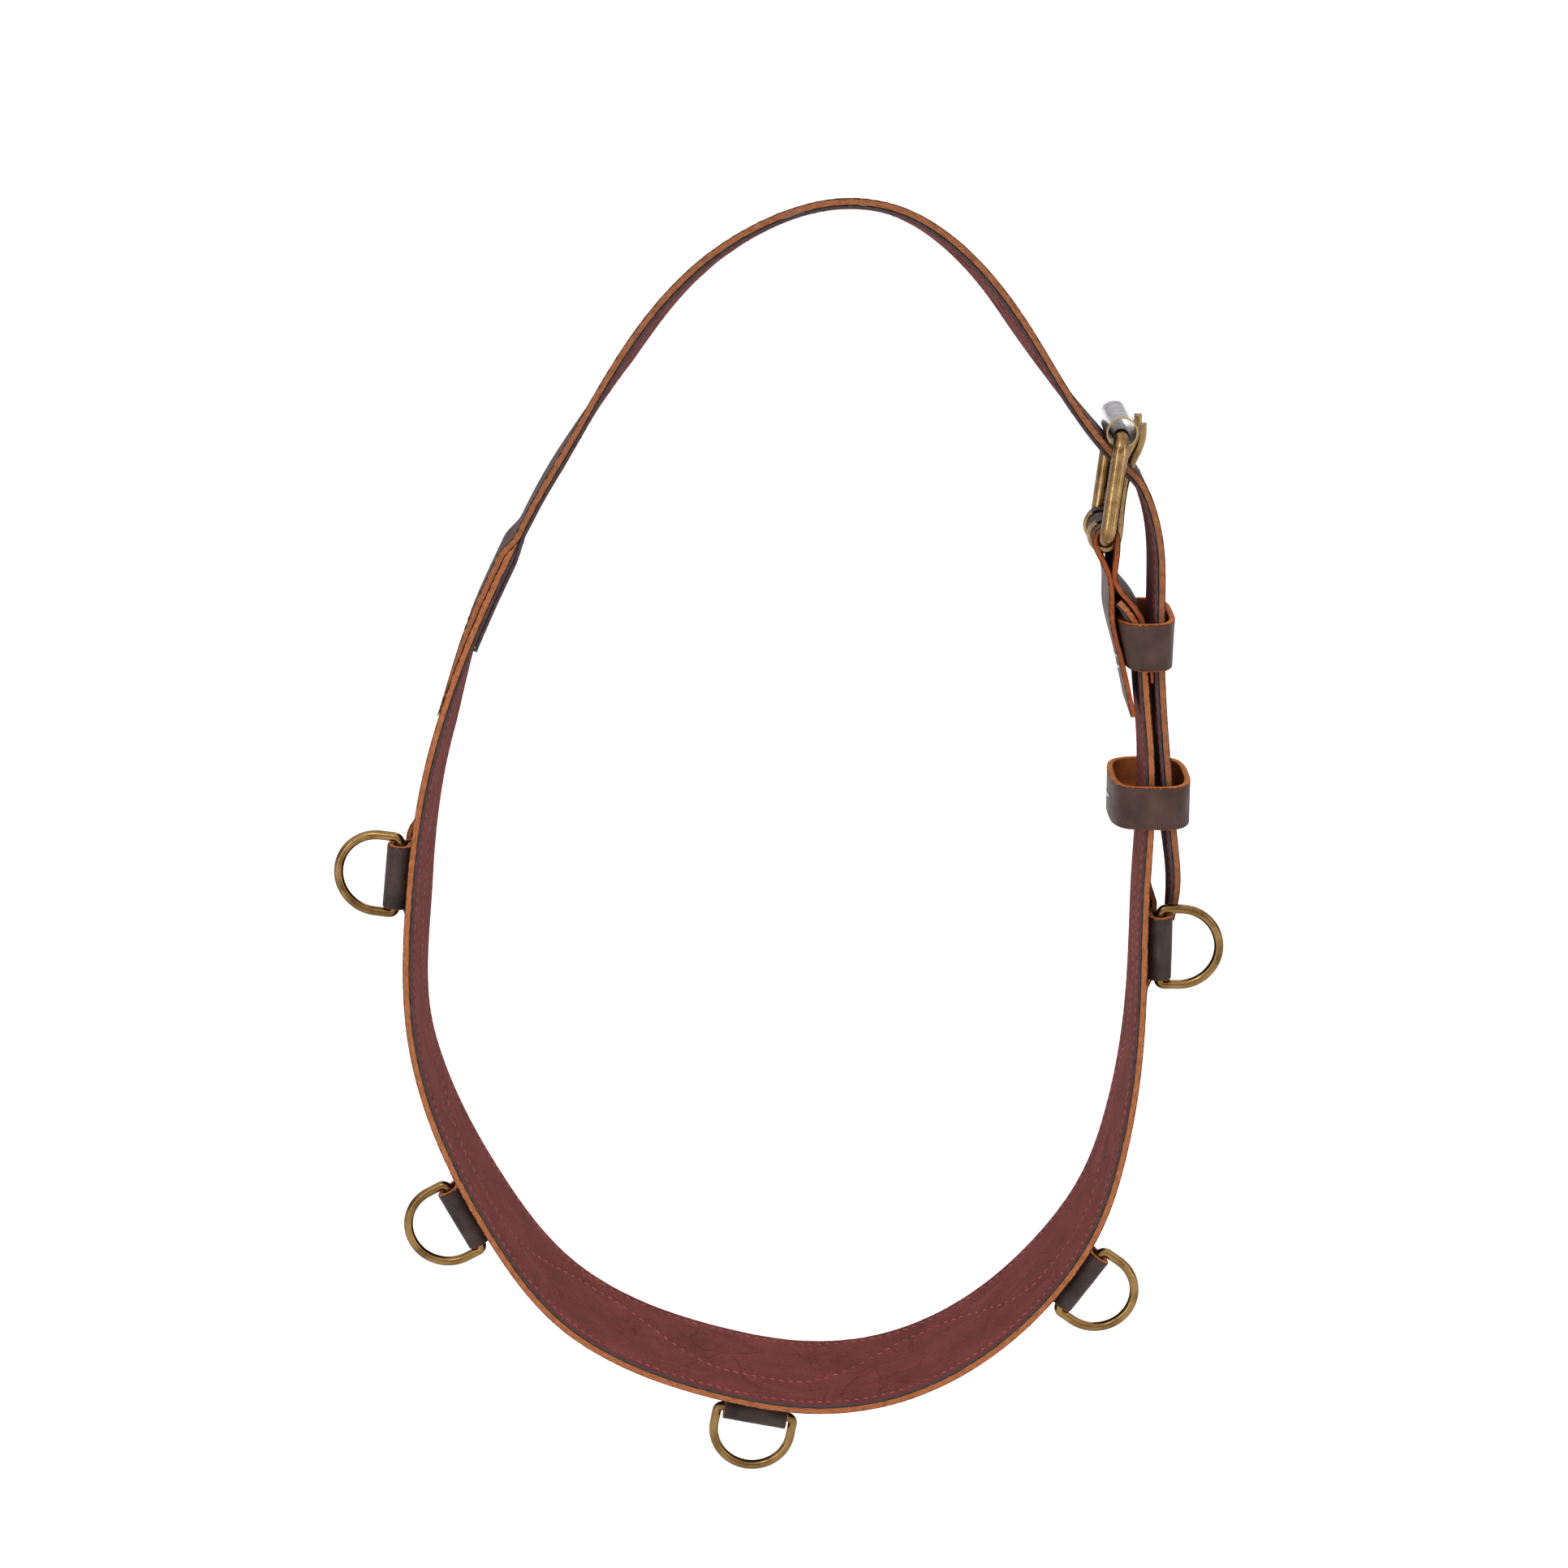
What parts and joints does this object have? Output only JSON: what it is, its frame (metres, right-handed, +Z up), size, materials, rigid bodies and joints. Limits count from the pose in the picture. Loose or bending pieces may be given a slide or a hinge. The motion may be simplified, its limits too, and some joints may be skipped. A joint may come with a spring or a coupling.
{
  "type": "leather martingale neck strap",
  "caption": "Lined leather neck strap with folded-in D-rings on tabs, a double-prong roller buckle, punched billet and two keepers.",
  "frame": {"origin": "underside of the strap at the crown of the hanging loop, midway across its width", "axes": "+Z up, X across the loop with the buckle on +X, Y across the strap's width"},
  "size_m": [0.3375, 0.0636, 0.4944],
  "materials": {
    "grain_leather": "oiled pull-up grain, raw tan edges",
    "suede_lining": "napped burgundy suede, dark cut edge",
    "chape_leather": "oiled grain, red-brown cut edge",
    "keeper_leather": "oiled grain, tan cut edge",
    "tab_leather": "smooth dark grain, tan cut edge",
    "antique_brass": "antiqued brass with dark hollows",
    "ring_brass": "antiqued brass wire",
    "bright_chrome": "polished",
    "steel_wire": "plain wire"
  },
  "bodies": {
    "root": {"belt_outer": "grain_leather", "belt_lining": "suede_lining", "billet_outer": "grain_leather", "billet_lining": "suede_lining", "ring_overlay": "grain_leather", "ring_tab_1": "tab_leather", "ring_tab_2": "tab_leather", "ring_tab_3": "tab_leather", "ring_tab_4": "tab_leather", "ring_tab_5": "tab_leather", "buckle_chape": "chape_leather", "fixed_keeper": "keeper_leather", "chape_staples": "steel_wire"},
    "sliding_keeper": {"sliding_keeper": "keeper_leather", "keeper_staple": "steel_wire"},
    "buckle_frame": {"buckle_frame": "antique_brass"},
    "roller": {"buckle_roller": "bright_chrome"},
    "prong_near": {"buckle_prong_near": "antique_brass"},
    "prong_far": {"buckle_prong_far": "antique_brass"},
    "d_ring_1": {"d_ring_1": "ring_brass"},
    "d_ring_2": {"d_ring_2": "ring_brass"},
    "d_ring_3": {"d_ring_3": "ring_brass"},
    "d_ring_4": {"d_ring_4": "ring_brass"},
    "d_ring_5": {"d_ring_5": "ring_brass"}
  },
  "joints": [
    {"name": "d_ring_1_swing", "type": "hinge", "parent": "root", "child": "d_ring_1", "pos_m": [-0.16922, -0.01168, -0.252], "axis": [0.1027, 0, 0.9947], "range_deg": [-65, 90]},
    {"name": "d_ring_2_swing", "type": "hinge", "parent": "root", "child": "d_ring_2", "pos_m": [-0.14592, -0.02096, -0.3857], "axis": [-0.4773, 0, 0.8787], "range_deg": [-65, 90]},
    {"name": "d_ring_3_swing", "type": "hinge", "parent": "root", "child": "d_ring_3", "pos_m": [-0.03401, -0.02325, -0.46604], "axis": [-0.9821, 0, 0.1883], "range_deg": [-65, 90]},
    {"name": "d_ring_4_swing", "type": "hinge", "parent": "root", "child": "d_ring_4", "pos_m": [0.09111, -0.02271, -0.41136], "axis": [-0.5827, 0, -0.8127], "range_deg": [-65, 90]},
    {"name": "d_ring_5_swing", "type": "hinge", "parent": "root", "child": "d_ring_5", "pos_m": [0.1196, -0.01276, -0.27986], "axis": [-0.0046, 0, -1], "range_deg": [0, 90]},
    {"name": "buckle_frame_tilt", "type": "hinge", "parent": "root", "child": "buckle_frame", "pos_m": [0.0957, 0, -0.1213], "axis": [0, 1, 0], "range_deg": [0, 0.8]},
    {"name": "prong_near_lift", "type": "hinge", "parent": "buckle_frame", "child": "prong_near", "pos_m": [0.0957, 0, -0.1213], "axis": [0, 1, 0], "range_deg": [0, 1.2]},
    {"name": "prong_far_lift", "type": "hinge", "parent": "buckle_frame", "child": "prong_far", "pos_m": [0.0957, 0, -0.1213], "axis": [0, 1, 0], "range_deg": [0, 1.2]},
    {"name": "roller_spin", "type": "hinge", "parent": "buckle_frame", "child": "roller", "pos_m": [0.10072, 0, -0.08149], "axis": [0, 1, 0], "continuous": true},
    {"name": "sliding_keeper_slide", "type": "slide", "parent": "root", "child": "sliding_keeper", "axis": [0, 0, 1], "range_m": [-0.004, 0.02]}
  ]
}
